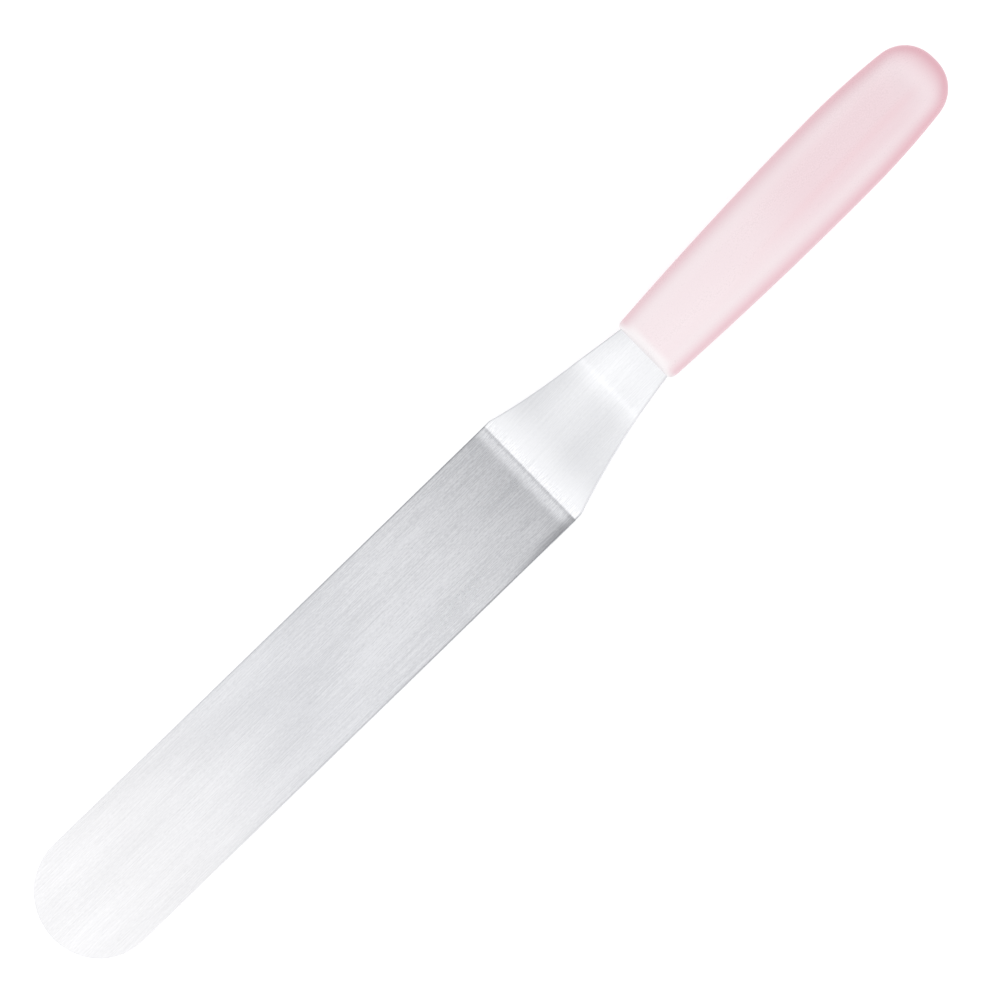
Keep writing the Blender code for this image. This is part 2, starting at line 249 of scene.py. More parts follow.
# %% Outline
def outline_half_width(along):
    """Half the sheet's width, worked out for all distances at once, and picked by where each one lies.

    Tip: an ellipse. Blade: a straight taper. Shoulders: a straight line less a parabola. Tang: a smooth
    step from neck width to tang width, and a circle at its end.
    """
    x_here, _ = on_sheet(along, 0.0)
    x_heel, _ = on_sheet(BLADE_LENGTH + SHOULDER_START, 0.0)
    x_front, _ = on_sheet(handle_front, 0.0)
    taper = ramp(along, TIP_ROUND_LENGTH, BLADE_LENGTH - TIP_ROUND_LENGTH)
    blade = (TIP_WIDTH + (HEEL_WIDTH - TIP_WIDTH) * taper) / 2
    from_centre = np.clip(1 - along / TIP_ROUND_LENGTH, 0.0, 1.0)
    tip = TIP_WIDTH / 2 * np.sqrt(1 - from_centre**2)
    share = np.maximum((x_here - x_heel) / (x_front - x_heel), 0.0)
    straight = (HEEL_WIDTH + (NECK_WIDTH - HEEL_WIDTH) * share) / 2
    hollow = 4 * share * (1 - share) * (1 + SHOULDER_SKEW * (1 - 2 * share))
    shoulder = straight - SHOULDER_HOLLOW * hollow
    depth = along - handle_front
    narrowing = eased((depth - TANG_SHOULDER_DEPTH) / TANG_NARROWING_LENGTH)
    tang = (NECK_WIDTH + (TANG_WIDTH - NECK_WIDTH) * narrowing) / 2
    radius = TANG_WIDTH / 2
    into_end = np.clip(depth - (TANG_LENGTH - radius), 0.0, radius)
    tang = np.where(into_end > 0, np.sqrt(radius**2 - into_end**2), tang)
    widths = np.where(along < TIP_ROUND_LENGTH, tip, blade)
    widths = np.where(along > BLADE_LENGTH, shoulder, widths)
    return np.where(along > handle_front, tang, widths)


# %% Stations
TIP_STATIONS = 72
TANG_END_STATIONS = 20
STATION_DECIMALS = 8  # stations closer than a hundred-millionth of a metre are one


def outline_stations():
    """Distances along the sheet, close together where it curves, in plan or in profile.

    Round ends get equal turns of a quarter circle. Every other stretch gets equal strides, from the end
    of the stretch before it to its own end.
    """
    tip = TIP_ROUND_LENGTH * (1 - np.cos(np.linspace(0.0, math.pi / 2, TIP_STATIONS)))
    foot = BLADE_LENGTH + HEEL_BEND_LENGTH / 2
    neck = BLADE_LENGTH + step_length + NECK_BEND_SHIFT - NECK_BEND_LENGTH / 2
    radius = TANG_WIDTH / 2
    tang_end = handle_front + TANG_LENGTH
    stretches = [
        (BLADE_LENGTH - HEEL_BEND_LENGTH / 2 - HEEL_LEAD_LENGTH, 60),  # the flat blade
        (foot - HEEL_BEND_LENGTH, 24),  # the lead ahead of the heel
        (foot, 15),  # the heel bend
        (BLADE_LENGTH + SHOULDER_START, 8),  # up to the shoulders
        (neck, 40),  # the step
        (neck + NECK_BEND_LENGTH, 25),  # the neck bend
        (handle_front, 12),  # the neck
        (handle_front + TANG_SHOULDER_DEPTH + TANG_NARROWING_LENGTH, 24),  # the tang as it narrows
        (tang_end - radius, 6),  # the straight tang
    ]
    spans = [tip]
    start = TIP_ROUND_LENGTH
    for end, count in stretches:
        spans.append(np.linspace(start, end, count))
        start = end
    spans.append(start + radius * np.sin(np.linspace(0.0, math.pi / 2, TANG_END_STATIONS)))
    return np.unique(np.round(np.concatenate(spans), STATION_DECIMALS))


stations = outline_stations()
half_widths = outline_half_width(stations)
print(len(stations), "stations, widest", round(2 * half_widths.max() / MM, 2), "mm")

# %% [markdown]
# ## The blade as one skin
#
# Sheared steel has sharp corners, but every kitchen blade is tumbled or linished until its edges feel
# soft. That rounding is only a quarter of a millimetre, yet it draws the fine line of light along the
# edge. So each station gets a closed ring: across the top face, round the edge in two quarter circles,
# back under the bottom face, and round the other edge. The quarter circles are pulled in along the
# outline's own normal, so that the rounding keeps its width right round the tip.

# %% Blade surface
EDGE_ROUND = 0.25 * MM
FACE_COLUMNS = 29
EDGE_COLUMNS = 6


def blade_rings():
    """The sheet's skin as rings of points, with two notes for its finish.

    On the faces, y is a share from -1 to 1 of the inset half width, crowded towards the edges by a sine.
    On the edges, the inset is the edge radius less its cosine part, and the height is the flat part plus
    the sine part, for angles from a quarter turn up to a quarter turn down. The columns start at the
    middle of the underside. The first note is each point's distance along the sheet, across it and above
    its middle plane, and the second is how far it lies inside the outline.
    """
    d_along = np.gradient(stations)
    d_width = np.gradient(half_widths)
    size = np.hypot(d_along, d_width)
    out_along = -d_width / size
    out_across = d_along / size
    out_along[0], out_across[0] = -1.0, 0.0
    out_along[-1], out_across[-1] = 1.0, 0.0
    half = SHEET_THICKNESS / 2
    across = np.sin(np.linspace(-math.pi / 2, math.pi / 2, FACE_COLUMNS))
    turn = np.linspace(math.pi / 2, 0.0, EDGE_COLUMNS)
    inset = EDGE_ROUND * (1 - np.cos(turn))
    height = half - EDGE_ROUND + EDGE_ROUND * np.sin(turn)
    inset = np.concatenate([inset, inset[::-1]])
    height = np.concatenate([height, -height[::-1]])
    edge_along = stations[:, None] - out_along[:, None] * inset
    edge_y = np.maximum(half_widths[:, None] - out_across[:, None] * inset, 0.0)
    face_along = np.repeat(edge_along[:, :1], FACE_COLUMNS - 2, axis=1)
    face_y = edge_y[:, :1] * across[1:-1]
    face_height = np.full(FACE_COLUMNS - 2, half)
    along = np.hstack([face_along, edge_along, face_along, edge_along])
    y = np.hstack([face_y, edge_y, -face_y, -edge_y])
    heights = np.concatenate([face_height, height, -face_height, -height])
    under_middle = -(FACE_COLUMNS - 2 + 2 * EDGE_COLUMNS + (FACE_COLUMNS - 2) // 2)
    along, y = np.roll(along, under_middle, axis=1), np.roll(y, under_middle, axis=1)
    heights = np.broadcast_to(np.roll(heights, under_middle), along.shape)
    x, z = on_sheet(along, heights)
    on_strip = np.stack([along, y, heights], axis=-1)
    inside = (half_widths[:, None] - np.abs(y)) * out_across[:, None]
    return np.stack([x, y, z], axis=-1), {"on_strip": on_strip, "inside_edge": inside}


# %% [markdown]
# ## Grain that runs one way
#
# Both finishes are made of marks that are longer one way than the other: brush lines and smears on the
# steel, flow marks and fine moulding grain on the plastic. A noise texture gives such marks when the place
# that it reads is divided by the marks' length, width and height. We wrap that in a node group, so that
# each material can place it several times with sizes of its own. It puts out a number around zero.

# %% Node helpers
def new_material(name):
    """A material, its node tree and its Principled BSDF."""
    material = bpy.data.materials.new(name)
    material.use_nodes = True
    tree = material.node_tree
    return material, tree, tree.nodes["Principled BSDF"]


def put(tree, kind, inputs=(), **settings):
    """A node of a kind, with its properties set.

    Each listed input gets what is listed for it: a number or colour of its own, or a link from a socket.
    """
    node = tree.nodes.new("ShaderNode" + kind)
    for name, value in settings.items():
        setattr(node, name, value)
    for name, value in dict(inputs).items():
        if isinstance(value, bpy.types.NodeSocket):
            tree.links.new(value, node.inputs[name])
        else:
            node.inputs[name].default_value = value
    return node


def maths(tree, operation, first, second=0.0):
    """One piece of arithmetic on two numbers or sockets."""
    return put(tree, "Math", {0: first, 1: second}, operation=operation).outputs[0]


def plus(tree, *parts):
    """Numbers and sockets added up."""
    total = parts[0]
    for part in parts[1:]:
        total = maths(tree, "ADD", total, part)
    return total


def times(tree, *parts):
    """Numbers and sockets multiplied."""
    product = parts[0]
    for part in parts[1:]:
        product = maths(tree, "MULTIPLY", product, part)
    return product


def between(tree, value, low, high, first=0.0, last=1.0):
    """A soft step: first below low, last above high, and a smooth curve from one to the other."""
    limits = {"Value": value, "From Min": low, "From Max": high, "To Min": first, "To Max": last}
    return put(tree, "MapRange", limits, interpolation_type="SMOOTHSTEP").outputs["Result"]


def blend(tree, share, first, second):
    """A colour mixed from two colours, each a socket or four numbers."""
    return put(tree, "Mix", {"Factor": share, 6: first, 7: second}, data_type="RGBA").outputs[2]


# %% Grain group
NOISE_MIDDLE = 0.5
NOISE_GAIN = 4.0
NOISE_ROUGHNESS = 0.6


def build_grain_group():
    """Noise read at place / mark size, less its middle value and widened to about minus one to one."""
    group = bpy.data.node_groups.new("one_way_grain", "ShaderNodeTree")
    group.interface.new_socket("Place", in_out="INPUT", socket_type="NodeSocketVector")
    group.interface.new_socket("Mark Size", in_out="INPUT", socket_type="NodeSocketVector")
    group.interface.new_socket("Detail", in_out="INPUT", socket_type="NodeSocketFloat")
    group.interface.new_socket("Grain", in_out="OUTPUT", socket_type="NodeSocketFloat")
    given = group.nodes.new("NodeGroupInput")
    result = group.nodes.new("NodeGroupOutput")
    place = put(group, "VectorMath", {0: given.outputs[0], 1: given.outputs[1]}, operation="DIVIDE")
    noise = put(group, "TexNoise", {"Vector": place.outputs[0], "Scale": 1.0, "Detail": given.outputs[2]})
    noise.inputs["Roughness"].default_value = NOISE_ROUGHNESS
    centred = maths(group, "SUBTRACT", noise.outputs["Fac"], NOISE_MIDDLE)
    group.links.new(times(group, centred, NOISE_GAIN), result.inputs[0])
    return group


grain_group = build_grain_group()


def grain(tree, place, size, detail=3.0):
    """One use of the group, for marks of the given length, width and height."""
    node = tree.nodes.new("ShaderNodeGroup")
    node.node_tree = grain_group
    tree.links.new(place, node.inputs["Place"])
    node.inputs["Mark Size"].default_value = size
    node.inputs["Detail"].default_value = detail
    return node.outputs["Grain"]


# %% [markdown]
# ## Brushed stainless steel
#
# The sheet was rolled, cut out and brushed along its length with an abrasive belt, and has been wiped
# since. Close up there are long lines, hair scratches, short wisps and specks of grit side by side, over
# faint cloudy smears. We could paint such marks, or copy them from a picture of steel. Noise stretched
# along the sheet needs neither, and it never repeats.
#
# The steel isn't the same all over, either. It is a little paler and warmer towards the tip. Painted shade
# greys it by the long edges, along the far side of the step and by the handle, and darkens the near
# corner of the heel and a thin line where each face meets its rounded edge, which grows stronger towards
# the heel and draws the outline; corner and line are rougher as well. So the colour is a mix of a darker
# and a brighter steel, and the mix moves with the distance along the strip, across it and in from its edge.
#
# A brushed surface also mirrors unevenly: along the scratches it is nearly a mirror, and across them it
# smears. The shader's anisotropy does that, and the UV map's direction tells it which way the belt ran.

# %% Steel colours
DULL_STEEL = (0.745, 0.750, 0.770, 1.0)
BRIGHT_STEEL = (0.947, 0.951, 0.969, 1.0)
TIP_STEEL = (0.958, 0.938, 0.934, 1.0)
# painted shade: the dark line by the rounded edges stands in for that rounding's dark reflection
PAINTED_RIM_SHADE = (0.21, 0.215, 0.23, 1.0)


# %% Marks of the belt
MARK_HEIGHT = 40 * MM
BELT_MARKS = (  # the length, width, detail and weight of each kind of mark
    (80 * MM, 0.5 * MM, 3.0, 0.22),  # lines
    (22 * MM, 0.22 * MM, 3.0, 0.54),  # hair scratches
    (5 * MM, 0.28 * MM, 1.0, 0.28),  # wisps
    (1.1 * MM, 0.25 * MM, 1.0, 0.38),  # grit
)
MARKS_GROW = (75 * MM, 180 * MM)  # distances from the tip, as in all the zones along the strip
MARKS_BY_TIP = 0.76
MARKS_BY_HEEL = 1.7
MARKS_STOP = (BLADE_LENGTH, BLADE_LENGTH + 4 * MM)
MARKS_ON_FOOT = 0.15
MARKS_RETURN = (BLADE_LENGTH + 6 * MM, BLADE_LENGTH + 20 * MM)
MARKS_ON_STEP = 0.08


def belt_marks(tree, place, along):
    """All kinds of marks added up by weight, strongest near the heel and weak past it."""
    kinds = [
        times(tree, grain(tree, place, (length, width, MARK_HEIGHT), detail), weight)
        for length, width, detail, weight in BELT_MARKS
    ]
    strength = between(tree, along, *MARKS_GROW, MARKS_BY_TIP, MARKS_BY_HEEL)
    on_foot = between(tree, along, *MARKS_STOP, 1.0, MARKS_ON_FOOT)
    on_step = between(tree, along, *MARKS_RETURN, 0.0, MARKS_ON_STEP)
    return times(tree, plus(tree, *kinds), strength, plus(tree, on_foot, on_step))


# %% Painted shade by the edges
WIDE_BAND = (0.0, 3.2 * MM)  # distances in from the edge
WIDE_PAINTED_SHADE = 0.17
NARROW_BAND = (0.1 * MM, 0.7 * MM)
NARROW_PAINTED_SHADE = 0.34
EDGE_SHADE_FROM = (12 * MM, 100 * MM)
EDGES_AT_MOST = 0.95
EDGES_FADE = (145 * MM, BLADE_LENGTH + 2 * MM)
EDGES_PAST_HEEL = 0.4
FAR_HALF = (1 * MM, 7 * MM)  # distances from the middle line
FAR_SIDE_BAND = (0.0, 7 * MM)
FAR_SIDE_PAINTED_SHADE = 0.26
FAR_SIDE_FROM = (BLADE_LENGTH + 5 * MM, BLADE_LENGTH + 18 * MM)
BY_HANDLE = (handle_front - 8 * MM, handle_front)
PAINTED_SHADE_BY_HANDLE = 0.16


# Painted shade: greyer bands by the long edges, along the far side of the step and by the handle stand in for
# darker reflections and shade.
def painted_edge_shade(tree, along, across, inside):
    """How much painted shade darkens the sheet by its edges, along the far side of the step, and by the
    handle.
    """
    wide = between(tree, inside, *WIDE_BAND, WIDE_PAINTED_SHADE, 0.0)
    narrow = between(tree, inside, *NARROW_BAND, NARROW_PAINTED_SHADE, 0.0)
    edges = times(tree, plus(tree, wide, narrow), between(tree, along, *EDGE_SHADE_FROM, 0.0, EDGES_AT_MOST))
    edges = times(tree, edges, between(tree, along, *EDGES_FADE, 1.0, EDGES_PAST_HEEL))
    far_side = between(tree, inside, *FAR_SIDE_BAND, FAR_SIDE_PAINTED_SHADE, 0.0)
    far_side = times(tree, between(tree, across, *FAR_HALF), far_side)
    far_side = times(tree, far_side, between(tree, along, *FAR_SIDE_FROM))
    by_handle = between(tree, along, *BY_HANDLE, 0.0, PAINTED_SHADE_BY_HANDLE)
    return plus(tree, edges, far_side, by_handle)


# %% Painted dark line and corner, which are also rougher
LINE_BAND = (0.12 * MM, 0.50 * MM)
WALL_TOP = (0.38 * MM, 0.54 * MM)  # heights from the sheet's middle plane
LINE_GROWS = (25 * MM, 172 * MM)
LINE_SHADE_AND_DULLNESS = 0.65
LINE_FADES = (BLADE_LENGTH, BLADE_LENGTH + 3 * MM)
LINE_PAST_HEEL = 0.25
CORNER_BAND = (-HEEL_WIDTH / 2, -14.0 * MM)  # from the near edge in
CORNER_SHADE_AND_DULLNESS = 0.52
CORNER_FROM = (148 * MM, 176 * MM)
CORNER_ENDS = (BLADE_LENGTH - 0.6 * MM, BLADE_LENGTH)


# Painted shade: the line and the corner stand in for darker reflections, and the same mask makes the steel
# rougher there.
def painted_dark_line(tree, along, across, inside, height):
    """The painted dark line round both faces, growing towards the heel, and the painted shade of the near
    heel corner.
    """
    by_edge = between(tree, inside, *LINE_BAND, 1.0, 0.0)
    off_wall = between(tree, maths(tree, "ABSOLUTE", height), *WALL_TOP)
    grows = between(tree, along, *LINE_GROWS, 0.0, LINE_SHADE_AND_DULLNESS)
    fades = between(tree, along, *LINE_FADES, 1.0, LINE_PAST_HEEL)
    line = times(tree, by_edge, off_wall, grows, fades)
    corner = between(tree, across, *CORNER_BAND, CORNER_SHADE_AND_DULLNESS, 0.0)
    corner = times(tree, corner, between(tree, along, *CORNER_FROM))
    corner = times(tree, corner, between(tree, along, *CORNER_ENDS, 1.0, 0.0))
    return maths(tree, "MAXIMUM", line, corner)


# %% Steel material
SMEAR_SIZE = (40 * MM, 11 * MM, 40 * MM)
SMEAR_WEIGHT = 0.23
MIDDLE_TONE = 0.5
TIP_ZONE = (30 * MM, 95 * MM)
TIP_STEEL_SHARE = 0.3
STEEL_ROUGHNESS = 0.285
MARKS_ROUGHEN = 0.01
SMEARS_ROUGHEN = 0.008
DULLNESS_ROUGHENS = 0.15
RELIEF_HEIGHT = 0.01 * MM
STEEL_RELIEF = 0.03
SMEAR_TURN = 0.25  # a quarter turn from the belt's way, so that light smears across the marks


def finish_steel():
    """Marks, smears and painted edge shade in the colour, and the marks again in the roughness and the
    relief.
    """
    material, tree, shader = new_material("brushed_steel")
    place = put(tree, "Attribute", attribute_name="on_strip").outputs["Vector"]
    inside = put(tree, "Attribute", attribute_name="inside_edge").outputs["Fac"]
    along, across, height = put(tree, "SeparateXYZ", {0: place}).outputs
    marks = belt_marks(tree, place, along)
    smears = grain(tree, place, SMEAR_SIZE, 0.0)
    tone = plus(tree, MIDDLE_TONE, marks, times(tree, smears, SMEAR_WEIGHT))
    tone = maths(tree, "SUBTRACT", tone, painted_edge_shade(tree, along, across, inside))
    face = blend(tree, tone, DULL_STEEL, BRIGHT_STEEL)
    by_tip = between(tree, along, *TIP_ZONE, TIP_STEEL_SHARE, 0.0)
    face = blend(tree, by_tip, face, TIP_STEEL)
    rim_shade_and_dullness = painted_dark_line(tree, along, across, inside, height)
    tree.links.new(blend(tree, rim_shade_and_dullness, face, PAINTED_RIM_SHADE), shader.inputs["Base Color"])
    shader.inputs["Metallic"].default_value = 1.0
    roughness = plus(tree, STEEL_ROUGHNESS, times(tree, marks, MARKS_ROUGHEN))
    roughness = plus(tree, roughness, times(tree, smears, SMEARS_ROUGHEN))
    roughness = plus(tree, roughness, times(tree, rim_shade_and_dullness, DULLNESS_ROUGHENS))
    tree.links.new(roughness, shader.inputs["Roughness"])
    shader.inputs["Anisotropic"].default_value = 1.0
    shader.inputs["Anisotropic Rotation"].default_value = SMEAR_TURN
    belt = put(tree, "Tangent", direction_type="UV_MAP", uv_map="unrolled")
    tree.links.new(belt.outputs[0], shader.inputs["Tangent"])
    relief = put(tree, "Bump", {"Strength": STEEL_RELIEF, "Distance": RELIEF_HEIGHT, "Height": marks})
    tree.links.new(relief.outputs[0], shader.inputs["Normal"])
    return material


# %% The blade's mesh
steel = finish_steel()
blade_points, blade_notes = blade_rings()
blade = mesh_from_rings("blade_sheet", blade_points, steel, blade_notes)
print("blade:", len(blade.data.polygons), "faces,", len(steel.node_tree.nodes), "nodes in its steel")

# %% [markdown]
# ## The handle
#
# The handle is injection moulded round the tang: an oval that swells from its front face to a belly two
# thirds of the way back, and closes in a butt that is blunt seen from above and longer seen from the
# side. One curve draws its width and one its thickness, and its section is a superellipse, a shape
# between an ellipse and a box with round corners, which has the flattened top and bottom that a moulded
# grip has. Curves swept round in CAD could make it too, but a formula gives every ring at once.
#
# The front is domed, so that no hard lip rubs a finger: it rounds over in a quarter ellipse that is much
# taller above and below the neck than it is wide beside it. The section grows boxier there, because a
# rounder one would cut across the corners of the slot. The neck comes out of that close slot, in the
# small flat that is left. And where the two halves of the mould met, a fine raised line runs along both
# sides.

# %% Handle sizes
HANDLE_LENGTH = 107.0 * MM
FRONT_WIDTH = NECK_WIDTH + 2 * 1.3 * MM  # 1.3 mm of plastic on either side of the neck
BELLY_WIDTH = 24.7 * MM
BUTT_WIDTH = 19.3 * MM
FRONT_THICKNESS = 12.4 * MM
BELLY_THICKNESS = 15.6 * MM
BUTT_THICKNESS = 12.6 * MM
BELLY_AT = 72.8 * MM
FRONT_FLARE = 0.061
SECTION_FULLNESS = 2.5
FRONT_SECTION_FULLNESS = 8.0
BUTT_ROUND_LENGTH = 9.4 * MM  # seen from above
BUTT_FULLNESS = 2.32
BUTT_TOP_LENGTH = 13.0 * MM  # seen from the side
BUTT_TOP_FULLNESS = 2.0
LIP_AT_SIDES = 1.0 * MM
LIP_DEPTH_AT_SIDES = 2.2 * MM
LIP_ABOVE = 5.2 * MM
LIP_DEPTH_ABOVE = 2.7 * MM
SLOT_GAP = 0.1 * MM
SLOT_DEPTH = 3.0 * MM
SLOT_EDGE = 0.1 * MM
SLOT_FULLNESS = 12.0
MOULD_LINE_HEIGHT = 0.04 * MM
MOULD_LINE_WIDTH = 0.12 * MM
FRAME_ALLOWANCE = 0.01 * MM  # a round skin stands this far proud of the frame's flat facets


# %% Handle curves
def handle_half_size(x, front, belly, butt):
    """Half a width or thickness at each x: a cubic up to the belly, and a parabola behind it.

    The flare adds a little slope at the front face, and nothing at either end of the cubic.
    """
    share = x / BELLY_AT
    rise = share * share * (3 - 2 * share)
    flare = share * (1 - share) ** 2 * BELLY_AT * FRONT_FLARE
    before = (front + (belly - front) * rise) / 2 + flare
    behind = (x - BELLY_AT) / (HANDLE_LENGTH - BELLY_AT)
    after = (belly + (butt - belly) * behind**2) / 2
    return np.where(x < BELLY_AT, before, after) - FRAME_ALLOWANCE


# %% Handle section
SECTION_POINTS = 144
MOULD_LINE_ANGLES = (0.0012, 0.0028, 0.0050, 0.0085, 0.016)


def handle_angles():
    """Angles round the section from the underside's middle, with close ones on both mould lines."""
    even = np.linspace(-math.pi / 2, math.pi * 3 / 2, SECTION_POINTS, endpoint=False)
    close = np.array(MOULD_LINE_ANGLES)
    close = np.concatenate([-close, close])
    return np.sort(np.concatenate([even, close, close + math.pi]))


def superellipse(angle, half_width, half_height, fullness):
    """Points (y, z) of |y / half width| ^ fullness + |z / half height| ^ fullness = 1, one row per size.

    The fullness is one number for all rows, or one for each.
    """
    cosine, sine = np.cos(angle), np.sin(angle)
    power = 2 / np.broadcast_to(fullness, half_width.shape)[:, None]
    y = np.sign(cosine) * np.abs(cosine) ** power
    z = np.sign(sine) * np.abs(sine) ** power
    return half_width[:, None] * y, half_height[:, None] * z


def drawn_in(x, depth):
    """A quarter ellipse's share of its height: one at the front face, nothing at the depth and beyond."""
    return 1 - np.sqrt(1 - (1 - ramp(x, 0.0, depth)) ** 2)


# %% Handle surface
SLOT_EDGE_ROWS = 5
FACE_ROWS = 4
LIP_ROWS = 16
BODY_ROWS = 100
BUTT_ROWS = 33


def slot_rows(angle):
    """Rings of the slot: a closed bottom, straight out, and round a small edge in a quarter circle."""
    turn = np.linspace(0.0, math.pi / 2, SLOT_EDGE_ROWS)
    x = np.concatenate([[SLOT_DEPTH, SLOT_DEPTH, SLOT_DEPTH / 2], SLOT_EDGE * (1 - np.sin(turn))])
    grow = np.concatenate([[0.0, 0.0, 0.0], SLOT_EDGE * (1 - np.cos(turn))])
    share = np.concatenate([[0.0], np.ones(len(x) - 1)])
    half_width = (NECK_WIDTH / 2 + SLOT_GAP + grow) * share
    half_height = (SHEET_THICKNESS / 2 + SLOT_GAP + grow) * share
    return x, *superellipse(angle, half_width, half_height, SLOT_FULLNESS)


def body_rows(angle):
    """Rings from the lip, along the body, to a point at the butt.

    Lip: quarter ellipses, a short one at the sides and a tall one above and below. Body: half sizes from
    the two curves. Butt: superellipses, blunt seen from above and longer seen from the side. The mould
    line adds its height at the sides, and falls off with z as a bell curve.
    """
    lip_x = LIP_DEPTH_ABOVE * (1 - np.cos(np.linspace(0.0, math.pi / 2, LIP_ROWS)))
    butt_start = HANDLE_LENGTH - BUTT_ROUND_LENGTH
    body_x = np.linspace(LIP_DEPTH_ABOVE, butt_start, BODY_ROWS)[1:]
    turn = np.linspace(0.0, math.pi / 2, BUTT_ROWS)[1:]
    butt_x = butt_start + BUTT_ROUND_LENGTH * np.sin(turn) ** (2 / BUTT_FULLNESS)
    butt_share = np.maximum(np.cos(turn), 0.0) ** (2 / BUTT_FULLNESS)
    butt_share[-1] = 0.0
    x = np.concatenate([lip_x, body_x, butt_x])
    share = np.concatenate([np.ones(len(lip_x) + len(body_x)), butt_share])
    into_butt = ramp(x, HANDLE_LENGTH - BUTT_TOP_LENGTH, BUTT_TOP_LENGTH)
    top_share = (1 - into_butt**BUTT_TOP_FULLNESS) ** (1 / BUTT_TOP_FULLNESS)
    width = handle_half_size(x, FRONT_WIDTH, BELLY_WIDTH, BUTT_WIDTH)
    width = (width - LIP_AT_SIDES * drawn_in(x, LIP_DEPTH_AT_SIDES)) * share
    thickness = handle_half_size(x, FRONT_THICKNESS, BELLY_THICKNESS, BUTT_THICKNESS)
    thickness = (thickness - LIP_ABOVE * drawn_in(x, LIP_DEPTH_ABOVE)) * top_share
    fuller = (FRONT_SECTION_FULLNESS - SECTION_FULLNESS) * drawn_in(x, LIP_DEPTH_ABOVE)
    y, z = superellipse(angle, width - MOULD_LINE_HEIGHT * share, thickness, SECTION_FULLNESS + fuller)
    line = (MOULD_LINE_HEIGHT * share)[:, None] * np.exp(-((z / MOULD_LINE_WIDTH) ** 2))
    return x, y + np.sign(y) * line, z


def handle_rows():
    """Rings in the handle's own frame: the slot's, the front face's and the body's.

    The face is a straight blend from the slot's last ring to the body's first, all at x = 0.
    """
    angle = handle_angles()
    slot_x, slot_y, slot_z = slot_rows(angle)
    body_x, body_y, body_z = body_rows(angle)
    share = np.linspace(0.0, 1.0, FACE_ROWS + 2)[1:-1, None]
    face_y = slot_y[-1] * (1 - share) + body_y[0] * share
    face_z = slot_z[-1] * (1 - share) + body_z[0] * share
    x = np.concatenate([slot_x, np.zeros(FACE_ROWS), body_x])
    y = np.vstack([slot_y, face_y, body_y])
    z = np.vstack([slot_z, face_z, body_z])
    return np.repeat(x[:, None], len(angle), axis=1), y, z


# %% Lean and place of the handle's skin
# painted shade: the fuller pink of sides and butt stands in for the skin turning away from the light above
BUTT_WEIGHT = 1.2  # the fuller pink of the sides reaches further in from the butt
SIDE_TURN = math.radians(4.4)  # and a little further in from the far side than from the near one
LEAST_LENGTH = 1e-15  # keeps the empty rings at both ends from dividing by nothing


def leaning(x, y, z):
    """How far the skin leans out to the sides or the butt, and how far towards the blade, each up to one.

    The cross product of the grid's two directions, divided by its length, is the outward direction. Its
    part along the handle's length and its part across it give the two numbers. The underside, which
    leans out beyond the sides, counts as one.
    """
    points = np.stack([x, y, z], axis=-1)
    along_rows = np.gradient(points, axis=0)
    round_ring = np.roll(points, -1, axis=1) - np.roll(points, 1, axis=1)
    outward = np.cross(round_ring, along_rows)
    outward /= np.maximum(np.linalg.norm(outward, axis=-1, keepdims=True), LEAST_LENGTH)
    turned = outward[..., 1] * math.cos(SIDE_TURN) + np.abs(outward[..., 2]) * math.sin(SIDE_TURN)
    to_side = np.hypot(turned, BUTT_WEIGHT * np.maximum(outward[..., 0], 0.0))
    to_side = np.where(outward[..., 2] < 0, 1.0, np.minimum(to_side, 1.0))
    return to_side, np.maximum(-outward[..., 0], 0.0)


def on_handle(x, y, z):
    """Turns points of the handle's own frame into the knife's: pitched up, from the front face's middle."""
    front_x, front_z = on_sheet(handle_front, 0.0)
    cosine = math.cos(HANDLE_PITCH)
    sine = math.sin(HANDLE_PITCH)
    return np.stack([front_x + x * cosine - z * sine, y, front_z + x * sine + z * cosine], axis=-1)


# %% [markdown]
# ## Pale pink plastic
#
# The handle is a solid-coloured plastic with a fine spark-eroded grain from the mould, which gives it a
# satin look and not a mirror's. Its pink is milky on the broad faces. Painted highlights make it paler on
# the domed front, palest at the very lip, and painted shade makes it fuller where the wall turns away at
# the sides, at the butt and underneath, and a shade deeper towards the rear. A long panel behind the middle
# is a shade deeper, a painted darker reflection, and a redder flow mark runs through it. Painted highlights
# also lie as a pale ridge between the panel and the sides, and as a pale glow ahead of the butt.
#
# One flat pink under more lamps would give some of that, but it would change with every lamp. So we mix
# pinks by soft steps: over how far the skin leans to the sides or to the blade, over the distance from
# the front, and over the distance from the middle line. The lean is measured on the mesh and kept as an
# attribute. The grain group adds soft marks along the flow, and the fine grain.

# %% Pinks
FRONT_PINK = (0.898, 0.776, 0.795, 1.0)
SHADED_REAR_PINK = (0.855, 0.668, 0.702, 1.0)
RIDGE_HIGHLIGHT_PINK = (0.905, 0.815, 0.828, 1.0)
BUTT_HIGHLIGHT_PINK = (0.955, 0.800, 0.828, 1.0)
SHADED_SIDE_PINK = (0.845, 0.538, 0.593, 1.0)
SHADED_BUTT_PINK = (0.820, 0.462, 0.522, 1.0)
DOME_HIGHLIGHT_PINK = (0.945, 0.895, 0.897, 1.0)
LIP_HIGHLIGHT_PINK = (0.985, 0.930, 0.935, 1.0)
JOINT_SHADE_PINK = (0.820, 0.640, 0.680, 1.0)
FLOW_PINK = (0.860, 0.560, 0.600, 1.0)


